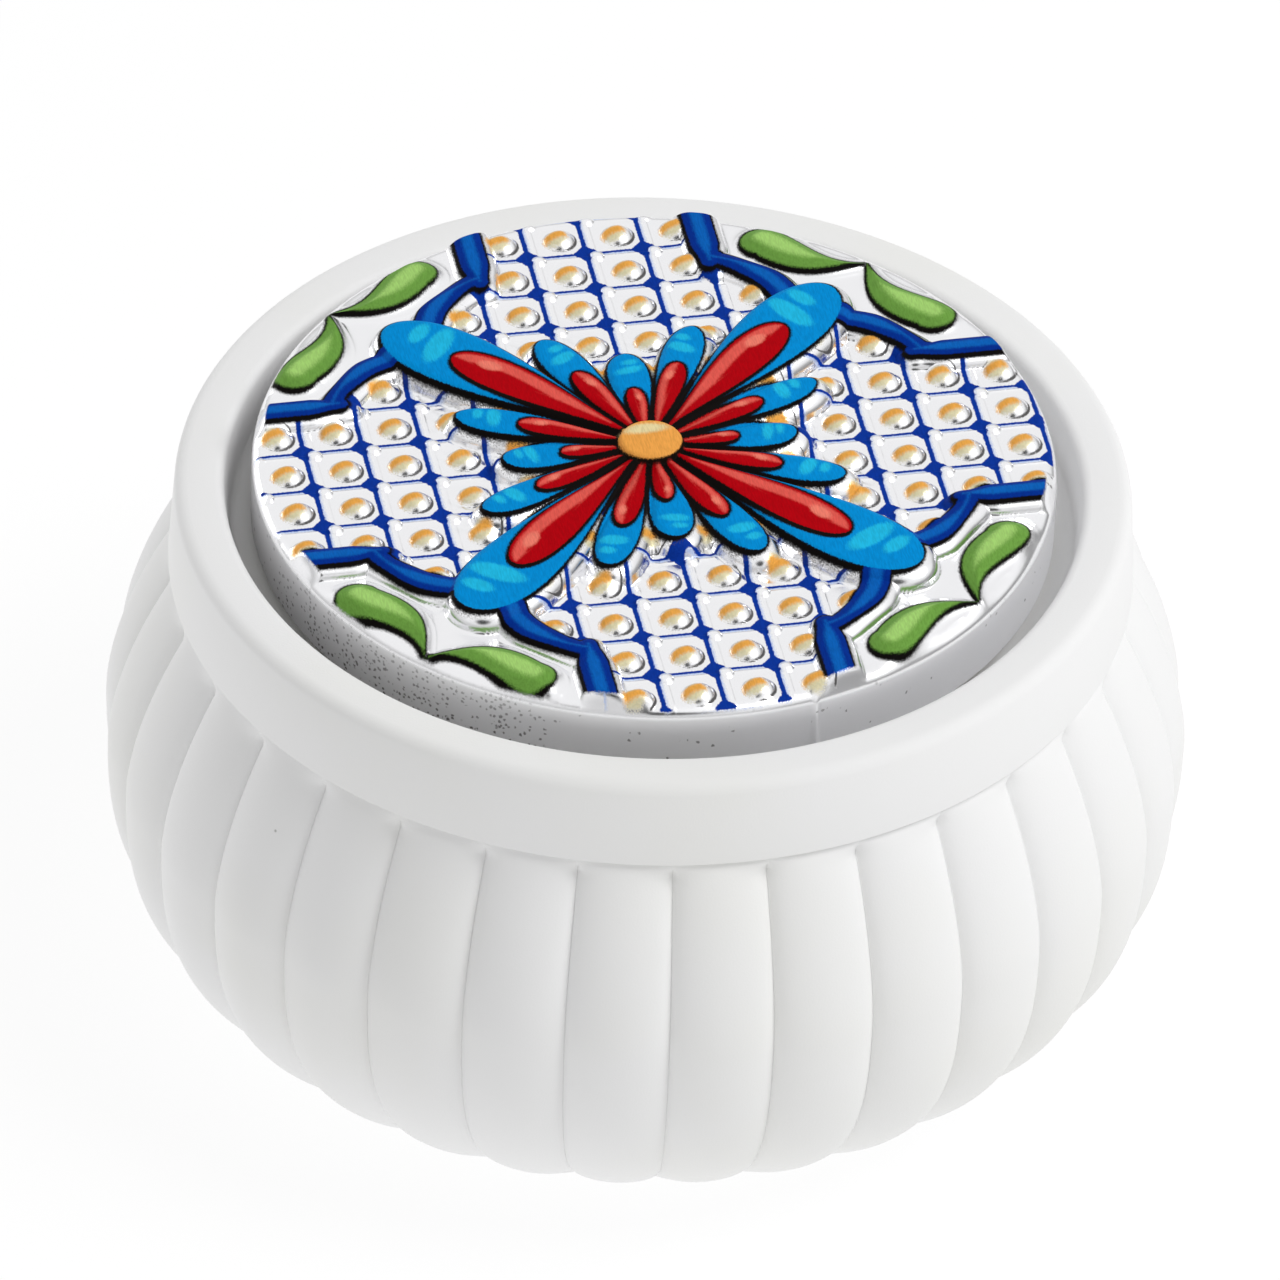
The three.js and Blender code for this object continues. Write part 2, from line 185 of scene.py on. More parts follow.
# Bowl: slip-cast porcelain, fired without a glaze, so it is dead white and matt with soft edges and a few
# pinholes. It is one round body with thirty-two flutes from the mould, a foot ring below and a flat land
# on top, which carries the lid.
BELLY_RADIUS = 41.9
BELLY_LEVEL = 22.5
BOWL_HEIGHT = 37.6
SHOULDER_RADIUS = 36.75
SHOULDER_FULLNESS = 1.61
LAND_WIDTH = 4.6
FOOT_RADIUS = 28.4
FOOT_FULLNESS = 2.58
FOOT_RING_WIDTH = 3.2
FOOT_RECESS = 1.2
BOWL_WALL = 4.4
BOWL_FLOOR = 4.5
RIB_COUNT = 32
RIB_DEPTH = 0.8
RIB_TURN = radians(4)
RIB_TOP_MARGIN = 0.2
RIB_TOP_RUNOUT = 1.3
RIB_FOOT_MARGIN = 0.6
RIB_FOOT_RUNOUT = 3.2
CREASE_DEPTH = 0.5  # of the sharp line between two ribs
CREASE_WIDTH = 0.45  # over which it fades to each side
RIB_STEPS = 20
RIB_STEP_GATHER = 1.7  # power that draws the steps towards the creases
OUTSIDE_ROWS = 72
INSIDE_ROWS = 36
FOOT_EDGE = 0.5
LAND_EDGE = 0.15
EDGE_SEGMENTS = 5
SHARP_FROM = radians(50)  # edges that turn more than this are shaded sharp
SAME_POINT = 1e-4
ON_RING = 1e-3
WHITE, WARM_WHITE, PINHOLE_GREY = (linear(code) for code in ("f2f2f2", "f0f0ed", "8d8a86"))
CLOUD_SIZE = 1000 / 38
CLOUD_EDGE = (0.45, 0.75)
PINHOLE_SPACING = 20 / 3
PINHOLE_RADIUS = (0.012, 0.028)  # full dark and end, as shares of the spacing
PINHOLE_RARITY = 0.86
GRAIN_SIZE = 1 / 6
GRAIN_DEPTH = 0.08


def new_material(name, colour, roughness):
    """A principled material, its node tree and its shader."""
    material = bpy.data.materials.new(name)
    material.use_nodes = True
    shader = material.node_tree.nodes["Principled BSDF"]
    shader.inputs["Base Color"].default_value = colour
    shader.inputs["Roughness"].default_value = roughness
    return material, material.node_tree, shader


def per_metre(size):
    """The scale of a pattern whose cells have a size in millimetres."""
    return 1 / (size * MM)


# Bisque: a dry surface with a fine grain, drawn as coarse as a sixth of a millimetre so that it shows, and
# faint warm clouds from the kiln. The eye sees a soft matt white, a rare dark pinhole and no reflection.
porcelain, tree, shader = new_material("unglazed_porcelain_cast", WHITE, 0.78)
place = add_node(tree, "ShaderNodeTexCoord").outputs["Object"]
cloud = add_node(
    tree, "ShaderNodeTexNoise", {"Vector": place, "Scale": per_metre(CLOUD_SIZE), "Detail": 3}
).outputs[0]
warm = add_node(
    tree, "ShaderNodeMapRange", {"Value": cloud, 1: CLOUD_EDGE[0], 2: CLOUD_EDGE[1]}
).outputs[0]
tint = add_node(tree, "ShaderNodeMix", {0: warm, 6: WHITE, 7: WARM_WHITE}, data_type="RGBA").outputs[2]
cells = add_node(
    tree, "ShaderNodeTexVoronoi", {"Vector": place, "Scale": per_metre(PINHOLE_SPACING)}, feature="F1"
).outputs
full, end = PINHOLE_RADIUS
hole = add_node(
    tree, "ShaderNodeMapRange", {"Value": cells["Distance"], 1: full, 2: end, 3: 1, 4: 0}
).outputs[0]
chance = add_node(tree, "ShaderNodeSeparateColor", {0: cells["Color"]}).outputs[0]
rare = add_node(tree, "ShaderNodeMath", {0: chance, 1: PINHOLE_RARITY}, operation="GREATER_THAN").outputs[0]
pinhole = add_node(tree, "ShaderNodeMath", {0: hole, 1: rare}, operation="MULTIPLY").outputs[0]
skin_colour = add_node(tree, "ShaderNodeMix", {0: pinhole, 6: tint, 7: PINHOLE_GREY}, data_type="RGBA")
tree.links.new(skin_colour.outputs[2], shader.inputs["Base Color"])
grain = add_node(
    tree, "ShaderNodeTexNoise", {"Vector": place, "Scale": per_metre(GRAIN_SIZE), "Detail": 2}
).outputs[0]
pitted = add_node(tree, "ShaderNodeMath", {0: grain, 1: pinhole}, operation="SUBTRACT").outputs[0]
bump = add_node(tree, "ShaderNodeBump", {"Height": pitted, "Strength": 0.12, "Distance": GRAIN_DEPTH * MM})
tree.links.new(bump.outputs[0], shader.inputs["Normal"])


def belly_radius(widest, bottom, top, level):
    """Radius of a round belly: one curve from the widest ring up to its top, another down to its bottom."""
    upper = level > BELLY_LEVEL
    end_radius, end_level = top if upper else bottom
    fullness = SHOULDER_FULLNESS if upper else FOOT_FULLNESS
    reach = abs(end_level - BELLY_LEVEL) / (1 - (end_radius / widest) ** fullness) ** (1 / fullness)
    return widest * (1 - (abs(level - BELLY_LEVEL) / reach) ** fullness) ** (1 / fullness)


def belly_curve(widest, bottom, top, rows):
    """The belly's profile from its bottom up, in even steps that are wider than the rounding of its edges."""
    levels = [bottom[1] + (top[1] - bottom[1]) * row / rows for row in range(rows + 1)]
    return [(belly_radius(widest, bottom, top, level), level) for level in levels]


def turn_on_wheel(profile, sectors, steps, start=0):
    """A profile of (radius, level) points turned about the box's axis: one sector, then its copies."""
    bm = bmesh.new()
    ring = [bm.verts.new((radius * sin(start), -radius * cos(start), level)) for radius, level in profile]
    edges = [bm.edges.new(pair) for pair in zip(ring, ring[1:])]
    axis = dict(cent=(0, 0, 0), axis=(0, 0, 1))
    sector = 2 * pi / sectors
    bmesh.ops.spin(bm, geom=ring + edges, angle=sector, steps=steps, **axis)
    whole = bm.verts[:] + bm.edges[:] + bm.faces[:]
    bmesh.ops.spin(bm, geom=whole, angle=2 * pi - sector, steps=sectors - 1, use_duplicate=True, **axis)
    bmesh.ops.remove_doubles(bm, verts=bm.verts, dist=SAME_POINT)
    bmesh.ops.recalc_face_normals(bm, faces=bm.faces)
    return bm


def round_ring(bm, radius, level, rounding):
    """Rounds the turned edge at a radius and a level."""
    at_radius = {v for v in bm.verts if abs(hypot(v.co.x, v.co.y) - radius) < ON_RING}
    on_ring = {v for v in at_radius if abs(v.co.z - level) < ON_RING}
    ring = [e for e in bm.edges if e.verts[0] in on_ring and e.verts[1] in on_ring]
    bmesh.ops.bevel(
        bm, geom=ring, offset=rounding, affect="EDGES", segments=EDGE_SEGMENTS, profile=0.5, material=-1
    )


def finished_piece(bm, name, material, body, replaced):
    """The mesh as a smooth piece at the origin, in metres, that rides on a body."""
    mesh = bpy.data.meshes.new(name)
    bmesh.ops.scale(bm, vec=(MM, MM, MM), verts=bm.verts)
    bm.to_mesh(mesh)
    bm.free()
    mesh.shade_smooth()
    mesh.set_sharp_from_angle(angle=SHARP_FROM)
    mesh.materials.append(material)
    piece = bpy.data.objects.new(name, mesh)
    bpy.context.collection.objects.link(piece)
    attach(piece, body)
    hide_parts(*replaced)
    return piece


def points_of(piece):
    """The piece's points as arrays of x, y and z, in millimetres."""
    places = np.empty(3 * len(piece.data.vertices))
    piece.data.vertices.foreach_get("co", places)
    return places.reshape(-1, 3).T / MM


def move_points(piece, x, y, z):
    """Puts the piece's points at x, y and z, in millimetres."""
    piece.data.vertices.foreach_set("co", (np.stack([x, y, z], axis=1) * MM).ravel())
    piece.data.update()


def smoothstep(value, low, high):
    """A share that goes from 0 to 1 between two values, and sets off and ends gently."""
    share = np.clip((value - low) / (high - low), 0, 1)
    return share * share * (3 - 2 * share)


outside = dict(widest=BELLY_RADIUS, bottom=(FOOT_RADIUS, 0), top=(SHOULDER_RADIUS, BOWL_HEIGHT))
mouth_radius = SHOULDER_RADIUS - LAND_WIDTH
inside = dict(
    widest=BELLY_RADIUS - BOWL_WALL,
    bottom=(FOOT_RADIUS - BOWL_WALL, BOWL_FLOOR),
    top=(mouth_radius, BOWL_HEIGHT),
)
foot_inner = FOOT_RADIUS - FOOT_RING_WIDTH
outer_curve = belly_curve(rows=OUTSIDE_ROWS, **outside)
bowl_profile = [
    (0, FOOT_RECESS),
    (foot_inner, FOOT_RECESS),
    (foot_inner, 0),
    *outer_curve,
    *reversed(belly_curve(rows=INSIDE_ROWS, **inside)),
    (0, BOWL_FLOOR),
]
bm = turn_on_wheel(bowl_profile, RIB_COUNT, RIB_STEPS, RIB_TURN)
for radius in (foot_inner, FOOT_RADIUS):
    round_ring(bm, radius, 0, FOOT_EDGE)
for radius in (mouth_radius, SHOULDER_RADIUS):
    round_ring(bm, radius, BOWL_HEIGHT, LAND_EDGE)
bowl = finished_piece(bm, "ribbed_bowl", porcelain, "bowl_body", ["bowl"])
x, y, z = points_of(bowl)
radius = np.hypot(x, y)
wall_middles = [(level, radius - BOWL_WALL / 2) for radius, level in outer_curve]
middle_of_wall = np.interp(z, *zip(*wall_middles))
ribs = (np.arctan2(x, -y) - RIB_TURN) / (2 * pi) * RIB_COUNT
from_crest = 2 * (ribs - np.round(ribs - 0.5)) - 1
to_crease = (1 - np.minimum(abs(from_crest), 1)) ** RIB_STEP_GATHER
from_crest = np.sign(from_crest) * (1 - to_crease)
turn = RIB_TURN + (np.round(ribs - 0.5) + (from_crest + 1) / 2) * 2 * pi / RIB_COUNT
crease = CREASE_DEPTH * np.exp(-to_crease * pi * BELLY_RADIUS / RIB_COUNT / CREASE_WIDTH)
above_foot = smoothstep(z, RIB_FOOT_MARGIN, RIB_FOOT_MARGIN + RIB_FOOT_RUNOUT)
below_lid = smoothstep(BOWL_HEIGHT - z, RIB_TOP_MARGIN, RIB_TOP_MARGIN + RIB_TOP_RUNOUT)
pressed = (RIB_DEPTH * from_crest**2 + crease) * above_foot * below_lid
radius = radius - np.where(radius > middle_of_wall, pressed, 0)
move_points(bowl, radius * np.sin(turn), -radius * np.cos(turn), z)


# Lid: the same cast porcelain, a plain band with a flat rim round a shallow well.
# Its locating ring drops into the bowl's mouth with a little play, so that it lifts straight off.
SEAM = 0.06  # shadow line between bowl and lid
LID_RADIUS = 37.15
LID_DRAFT = 0.45
LID_HEIGHT = 7.34
RIM_OUTER_ROUND = 1.0
RIM_INNER_ROUND = 0.7
RIM_WIDTH = 3.7
WELL_DEPTH = 4.2
WELL_DRAFT = 0.6
WELL_FILLET = 0.6
LID_SLAB = 3.4
SPIGOT_DEPTH = 3.5
SPIGOT_WALL = 3.5
SPIGOT_CLEARANCE = 0.4
SPIGOT_ROUND = 0.5
LID_EDGE = 0.09  # rounding of the lower edge
LID_SECTORS = 24
LID_STEPS = 15

lid_level = BOWL_HEIGHT + SEAM
rim_level = lid_level + LID_HEIGHT
well_level = rim_level - WELL_DEPTH
ceiling = well_level - LID_SLAB
rim_radius = LID_RADIUS - LID_DRAFT
well_radius = rim_radius - RIM_WIDTH
spigot_radius = mouth_radius - SPIGOT_CLEARANCE
lid_corners = {
    "spigot inside": (spigot_radius - SPIGOT_WALL, lid_level - SPIGOT_DEPTH, SPIGOT_ROUND),
    "spigot outside": (spigot_radius, lid_level - SPIGOT_DEPTH, SPIGOT_ROUND),
    "lower edge": (LID_RADIUS, lid_level, LID_EDGE),
    "rim outside": (rim_radius, rim_level, RIM_OUTER_ROUND),
    "rim inside": (well_radius, rim_level, RIM_INNER_ROUND),
    "well": (well_radius - WELL_DRAFT, well_level, WELL_FILLET),
}
lid_profile = [corner[:2] for corner in lid_corners.values()]
lid_profile.insert(2, (spigot_radius, lid_level))
lid_profile = [(0, ceiling), (lid_profile[0][0], ceiling), *lid_profile, (0, well_level)]
bm = turn_on_wheel(lid_profile, LID_SECTORS, LID_STEPS)
for corner in lid_corners.values():
    round_ring(bm, *corner)
finished_piece(bm, "lid_band_and_well", porcelain, "lid_body", ["lid"])


# Foam tape: a white disc of closed-cell foam with glue on both faces, which holds the plaque in the well.
# Only its cut edge can be seen, in the shade under the plaque: soft, matt and full of fine bubbles.
BUBBLE_SIZE = 2 / 7
BUBBLE_DEPTH = 0.1

foam, tree, shader = new_material("closed_cell_foam_tape", linear("efeee8"), 0.95)
place = add_node(tree, "ShaderNodeTexCoord").outputs["Object"]
bubble = add_node(
    tree, "ShaderNodeTexVoronoi", {"Vector": place, "Scale": per_metre(BUBBLE_SIZE)}
).outputs["Distance"]
shade = add_node(tree, "ShaderNodeMapRange", {"Value": bubble, 1: 0, 2: 0.7, 3: 0, 4: 1}).outputs[0]
mixed = add_node(
    tree, "ShaderNodeMix", {0: shade, 6: linear("d9d7ce"), 7: linear("f4f3ee")}, data_type="RGBA"
)
tree.links.new(mixed.outputs[2], shader.inputs["Base Color"])
bump = add_node(tree, "ShaderNodeBump", {"Height": bubble, "Strength": 0.5, "Distance": BUBBLE_DEPTH * MM})
tree.links.new(bump.outputs[0], shader.inputs["Normal"])
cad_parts["foam_tape_disc"].data.materials.clear()
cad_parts["foam_tape_disc"].data.materials.append(foam)


# Plaque core: a poured disc of cream polyester resin, which backs the thin silver sheet and keeps its relief.
# It is closed in on every side, and shows faint pour marks if the sheet is taken off.
SWIRL_SIZE = 100 / 9
SWIRL_DEPTH = 0.2

resin, tree, shader = new_material("poured_polyester_resin", linear("e6dfcb"), 0.45)
place = add_node(tree, "ShaderNodeTexCoord").outputs["Object"]
swirl = add_node(
    tree,
    "ShaderNodeTexNoise",
    {"Vector": place, "Scale": per_metre(SWIRL_SIZE), "Detail": 3, "Distortion": 1.5},
).outputs[0]
mixed = add_node(
    tree, "ShaderNodeMix", {0: swirl, 6: linear("ddd4ba"), 7: linear("ece7d8")}, data_type="RGBA"
)
tree.links.new(mixed.outputs[2], shader.inputs["Base Color"])
bump = add_node(tree, "ShaderNodeBump", {"Height": swirl, "Strength": 0.2, "Distance": SWIRL_DEPTH * MM})
tree.links.new(bump.outputs[0], shader.inputs["Normal"])
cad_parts["plaque_core"].data.materials.clear()
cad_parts["plaque_core"].data.materials.append(resin)


# Silver sheet: pure silver a few tenths thick, pressed over a die, then drawn down round the core. The relief
# is that of a majolica tile: flower, lattice, bracket bands and leaves, the same in all eight sectors.
# It is made as four closed quarters, because the relief needs a mesh too fine for one piece.
PLAQUE_CLEARANCE = 2.15
PLAQUE_THICKNESS = 5.4
PLAQUE_EDGE_ROUND = 0.9
PLAQUE_TURN = radians(12.3)
TILE_OFFSET = (-0.42, -0.05)  # of the tile's middle from the plaque's
SKIN = 0.6
UNDER_PLAQUE = 1.2  # the foam tape and its gaps
QUARTER_CELLS = 290
SHOULDER_ROWS = 6
RELIEF_FADE = (1.0, 0.1)  # from the plaque's outside, where the relief starts to fade and is gone
WALL_BEGINS = (0.2, 1.8)  # below the ground, where the face turns into the drawn wall
FACE_MARGIN = 0.05
FORM_SHIFT = (0.2, -0.28)  # of the pressed forms from the print
FORM_MARGIN = 0.68  # how far a pressed form reaches past its print
FORM_OVERHANG = 0.4  # how much longer a pressed petal is
FORM_CLEARANCE = 0.2  # round a form, where the lattice's beads stop
PETAL_SHOULDER = 1.25
BAND_SHOULDER = 1.5
DOME_SHIFT = (0.55, -0.45)
BEAD_SHIFT = (0.72, -0.5)
BOSS = dict(radius=2.45, height=1.7, round=0.5, crown=0.3, shift=(0.05, -0.12), margin=0.25)
PETAL_ROOT = 1.0
PETAL_WIDEST = 0.74
PETAL_FULLNESS = 1.42
PETAL_RISE = 0.35  # of all petals towards the boss
LEAST_SHARE = 0.02  # of a petal's length, so that nothing is divided by nought at its root
BIG_PETAL = dict(tip=24.65, width=6.4, height=1.35, inner_tip=18.3, inner_width=3.5)
SIDE_PETAL = dict(tip=15.2, width=3.1, height=1.2, inner_tip=10.3, inner_width=1.9)
SMALL_PETAL = dict(tip=11.4, width=3.1, height=1.1, inner_tip=6.9, inner_width=1.4)
SIDE_PETAL_TURN = radians(23)
BAND = dict(offset=9.1, width=2.1, height=0.9, cusp=22.6)
BAND_ARC = dict(across=6.8, along=15.9, radius=7.5, start=radians(15), end=radians(72))
BAND_CUSP_SHARE = 0.62
BAND_TAPER = 2.4
LEAF = dict(across=12.45, along=26.1, length=9.9, head=1.63, radius=1.76, turn=radians(-29), height=0.8)
LEAF_WIDEST = 0.28
LEAF_TAPER = 1.29
LEAF_ARCH = dict(height=1.3, skew=1.5)
LEAF_SLANT = 0.9  # the way to a leaf's slanting side, as a share of the way across its spine
CELL = dict(across=4.6, along=4.55, first=12.375)
DOME = dict(radius=1.3, height=0.75)
BEAD = dict(radius=0.68, height=0.36)
BEADS_BEGIN = 11.375  # along an arm
PAD_EDGE = dict(width=0.16, height=0.08)
WALL_FILLET = dict(height=0.14, width=0.22)
CRUMPLE = dict(seed=7, waves=14, shortest=0.7, longest=2.0, height=0.06, reach=0.8)
FOIL_FOLD = dict(turn=radians(24.6), width=0.25, height=0.38)
ON_LINE = 1e-5


def on_tile(x, y, shift=(0, 0)):
    """Places on the plaque as places on the tile, which is turned on it and may be shifted."""
    turned_x = cos(PLAQUE_TURN) * x + sin(PLAQUE_TURN) * y
    turned_y = cos(PLAQUE_TURN) * y - sin(PLAQUE_TURN) * x
    return turned_x - TILE_OFFSET[0] - shift[0], turned_y - TILE_OFFSET[1] - shift[1]


def in_sector(x, y):
    """The same place in the one sector that the tile repeats: along an arm of the cross, and across it."""
    return np.maximum(abs(x), abs(y)), np.minimum(abs(x), abs(y))


def petal_distance(along, across, tip, width):
    """Signed distance to a petal: pointed at its root, widest near its end, with a round tip."""
    length = tip - PETAL_ROOT
    share = np.maximum((along - PETAL_ROOT) / length, LEAST_SHARE)
    full = width / 2 / (PETAL_WIDEST**PETAL_FULLNESS * sqrt(1 - PETAL_WIDEST))
    spread = full * share**PETAL_FULLNESS
    value = (across / spread) ** 2 - 1 + share
    slope_along = (1 - 2 * PETAL_FULLNESS * (across / spread) ** 2 / share) / length
    outside = value / np.hypot(slope_along, 2 * across / spread**2 + 1e-9)
    half = spread * np.sqrt(np.clip(1 - share, 1e-4, 1))
    bend = half * (PETAL_FULLNESS / share - 0.5 / np.clip(1 - share, 1e-4, 1)) / length
    inside = (abs(across) - half) / np.hypot(1, bend)
    return np.where(value > 0, outside, inside)


def petal_axes(along, across):
    """The place as seen from each kind of petal in the sector: along it and across it."""
    turn = SIDE_PETAL_TURN
    return [
        (BIG_PETAL, (along + across) / sqrt(2), (across - along) / sqrt(2)),
        (SIDE_PETAL, along * cos(turn) + across * sin(turn), across * cos(turn) - along * sin(turn)),
        (SMALL_PETAL, along, across),
    ]


def whole_petals(along, across, overhang=0):
    """Signed distance to each kind of petal, made longer by an overhang."""
    return [
        petal_distance(forward, aside, petal["tip"] + overhang, petal["width"])
        for petal, forward, aside in petal_axes(along, across)
    ]


def inner_petals(along, across):
    """Signed distance to the narrower petal that lies on each kind of petal."""
    return [
        petal_distance(forward, aside, petal["inner_tip"], petal["inner_width"])
        for petal, forward, aside in petal_axes(along, across)
    ]


def band_distance(along, across):
    """Signed distance to the band: straight in from the edge to a cusp, then round to the big petal."""
    half = BAND["width"] / 2
    narrow = BAND_CUSP_SHARE + (1 - BAND_CUSP_SHARE) * smoothstep(abs(along - BAND["cusp"]), 0, BAND_TAPER)
    straight = np.hypot(across - BAND["offset"], np.minimum(along - BAND["cusp"], 0)) - half * narrow
    from_x, from_y = across - BAND_ARC["across"], along - BAND_ARC["along"]
    angle = np.clip(np.arctan2(from_y, from_x), BAND_ARC["start"], BAND_ARC["end"])
    radius = BAND_ARC["radius"]
    curved = np.hypot(from_x - radius * np.cos(angle), from_y - radius * np.sin(angle)) - half * narrow
    return np.minimum(straight, curved)


def leaf_distance(along, across):
    """Signed distance to the leaf: a comma with a round head, whose body arches inwards to its point."""
    dx, dy = across - LEAF["across"], along - LEAF["along"]
    forward = dx * cos(LEAF["turn"]) + dy * sin(LEAF["turn"])
    aside = dy * cos(LEAF["turn"]) - dx * sin(LEAF["turn"])
    on_blade = np.clip(forward, LEAF["head"], LEAF["length"])
    share = on_blade / LEAF["length"]
    half = LEAF["radius"] * np.sqrt(share / LEAF_WIDEST) * ((1 - share) / (1 - LEAF_WIDEST)) ** LEAF_TAPER
    from_spine = aside + LEAF_ARCH["height"] * np.sin(pi * share ** LEAF_ARCH["skew"])
    return LEAF_SLANT * (np.hypot(from_spine, forward - on_blade) - half)


def in_arm(along, across):
    """Whether a place lies on the cross, between the bands."""
    wide = np.hypot(across - BAND_ARC["across"], along - BAND_ARC["along"]) < BAND_ARC["radius"]
    return (across < BAND["offset"]) | wide | (along < BAND_ARC["along"])


def cell_place(along, across):
    """The place within its cell of the lattice, and whether the cell's middle lies in the arm."""
    column = np.floor(across / CELL["across"])
    row = np.floor((along - CELL["first"]) / CELL["along"])
    middle_x = (column + 0.5) * CELL["across"]
    middle_y = CELL["first"] + (row + 0.5) * CELL["along"]
    return across - middle_x, along - middle_y, in_arm(middle_y, middle_x)


def to_lines(along, across):
    """Distances to the nearest of the lattice's lines in both directions."""
    cell_x, cell_y, _ = cell_place(along, across)
    return CELL["across"] / 2 - abs(cell_x), CELL["along"] / 2 - abs(cell_y)


def puffed(distance, height, shoulder):
    """Height of a pressed form: level inside, and rounded over its edge."""
    share = np.clip(-distance / shoulder, 0, 1)
    return height * np.sqrt(1 - (1 - share) ** 2)


def cap(distance, radius, height):
    """Height of a dome of the given radius at a distance from its middle."""
    ball = (radius**2 + height**2) / (2 * height)
    return np.sqrt(np.maximum(ball**2 - distance**2, 0)) - (ball - height)


def crumpled(x, y):
    """Small uneven dents, from -1 to 1, as thin sheet has beside a deep form."""
    chance = np.random.default_rng(CRUMPLE["seed"])
    dents = np.zeros_like(x)
    for _ in range(CRUMPLE["waves"]):
        turn, phase = chance.uniform(0, 2 * pi, 2)
        length = chance.uniform(CRUMPLE["shortest"], CRUMPLE["longest"])
        dents += np.sin((x * cos(turn) + y * sin(turn)) * 2 * pi / length + phase)
    return dents / sqrt(CRUMPLE["waves"])


def relief(x, y):
    """Height of the pressed sheet over its ground."""
    along, across = in_sector(*on_tile(x, y, FORM_SHIFT))
    petals = whole_petals(along, across, FORM_OVERHANG)
    to_boss = np.hypot(*on_tile(x, y, BOSS["shift"])) - BOSS["radius"] - BOSS["margin"]
    boss = puffed(to_boss, BOSS["height"], BOSS["round"]) + puffed(to_boss, BOSS["crown"], BOSS["radius"])
    forms = [np.zeros_like(x), boss]
    rise = PETAL_RISE * (1 - np.hypot(along, across) / BIG_PETAL["tip"])
    for (petal, _, _), distance in zip(petal_axes(along, across), petals):
        forms.append(puffed(distance - FORM_MARGIN, petal["height"] + rise, PETAL_SHOULDER))
    band = band_distance(along, across) - FORM_MARGIN
    leaf = leaf_distance(along, across) - FORM_MARGIN
    forms.append(puffed(band, BAND["height"], BAND_SHOULDER))
    forms.append(LEAF["height"] * smoothstep(-leaf, 0, LEAF["radius"]))
    to_petal = np.minimum.reduce(petals) - FORM_MARGIN
    to_small_petal = np.minimum(*petals[1:]) - FORM_MARGIN
    nearest = np.minimum.reduce([to_petal, band, leaf])
    dome_x, dome_y, on_cross = cell_place(*in_sector(*on_tile(x, y, DOME_SHIFT)))
    forms.append(np.where(on_cross, cap(np.hypot(dome_x, dome_y), **DOME), 0))
    bead_y, bead_x = in_sector(*on_tile(x, y, BEAD_SHIFT))
    near_arm = in_arm(bead_y, bead_x) & (bead_y > BEADS_BEGIN)
    to_line_x, to_line_y = to_lines(bead_y, bead_x)
    bead = cap(np.hypot(to_line_x, to_line_y), **BEAD)
    edge = PAD_EDGE["height"] * (1 - smoothstep(np.minimum(to_line_x, to_line_y), 0, PAD_EDGE["width"]))
    forms.append(np.where(near_arm & (nearest > FORM_CLEARANCE), np.maximum(bead, edge), 0))
    fillet = WALL_FILLET["height"] * np.exp(-np.maximum(nearest, 0) / WALL_FILLET["width"])
    dents = CRUMPLE["height"] * crumpled(x, y) * np.exp(-np.maximum(to_small_petal, 0) / CRUMPLE["reach"])
    return np.maximum.reduce(forms) + fillet + np.where(to_petal > 0, dents, 0)


plaque_radius = well_radius - PLAQUE_CLEARANCE
plaque_level = well_level + UNDER_PLAQUE
ground_level = plaque_level + PLAQUE_THICKNESS

bm = bmesh.new()
bmesh.ops.create_grid(bm, x_segments=QUARTER_CELLS, y_segments=QUARTER_CELLS, size=0.5)
bmesh.ops.translate(bm, vec=(0.5, 0.5, 0), verts=bm.verts)
rim = [e for e in bm.edges if e.is_boundary and sum(max(v.co.x, v.co.y) for v in e.verts) > 2 - ON_LINE]
flat_radius = plaque_radius - PLAQUE_EDGE_ROUND
for vertex in bm.verts:
    x, y, z = vertex.co
    vertex.co = (
        flat_radius * x * sqrt(1 - y * y / 2),
        flat_radius * y * sqrt(1 - x * x / 2),
        ground_level,
    )
shoulder = [radians(90 * row / SHOULDER_ROWS) for row in range(1, SHOULDER_ROWS + 1)]
wall_rows = [
    (flat_radius + PLAQUE_EDGE_ROUND * sin(turn), ground_level - PLAQUE_EDGE_ROUND * (1 - cos(turn)))
    for turn in shoulder
]
wall_rows += [
    (plaque_radius, plaque_level),
    (plaque_radius - SKIN, plaque_level),
    (plaque_radius - SKIN, ground_level - SKIN),
]
for radius, level in wall_rows:
    drawn = bmesh.ops.extrude_edge_only(bm, edges=rim)["geom"]
    lower = [g for g in drawn if isinstance(g, bmesh.types.BMVert)]
    for vertex in lower:
        outwards = Vector((vertex.co.x, vertex.co.y, 0)).normalized()
        vertex.co = outwards * radius + Vector((0, 0, level))
    lower = set(lower)
    rim = [g for g in drawn if isinstance(g, bmesh.types.BMEdge) and lower.issuperset(g.verts)]
middle = bmesh.ops.extrude_edge_only(bm, edges=rim)["geom"]
middle = [g for g in middle if isinstance(g, bmesh.types.BMVert)]
bmesh.ops.pointmerge(bm, verts=middle, merge_co=(0, 0, ground_level - SKIN))
on_axis = [v for v in bm.verts if hypot(v.co.x, v.co.y) < ON_LINE]
cuts = [e for e in bm.edges if e.is_boundary]
seam = bm.edges.new(on_axis)
for axis in (0, 1):
    cut = [e for e in cuts if all(abs(v.co[axis]) < ON_LINE for v in e.verts)]
    bmesh.ops.edgeloop_fill(bm, edges=cut + [seam])
bmesh.ops.recalc_face_normals(bm, faces=bm.faces)
quarter_of_sheet = bm


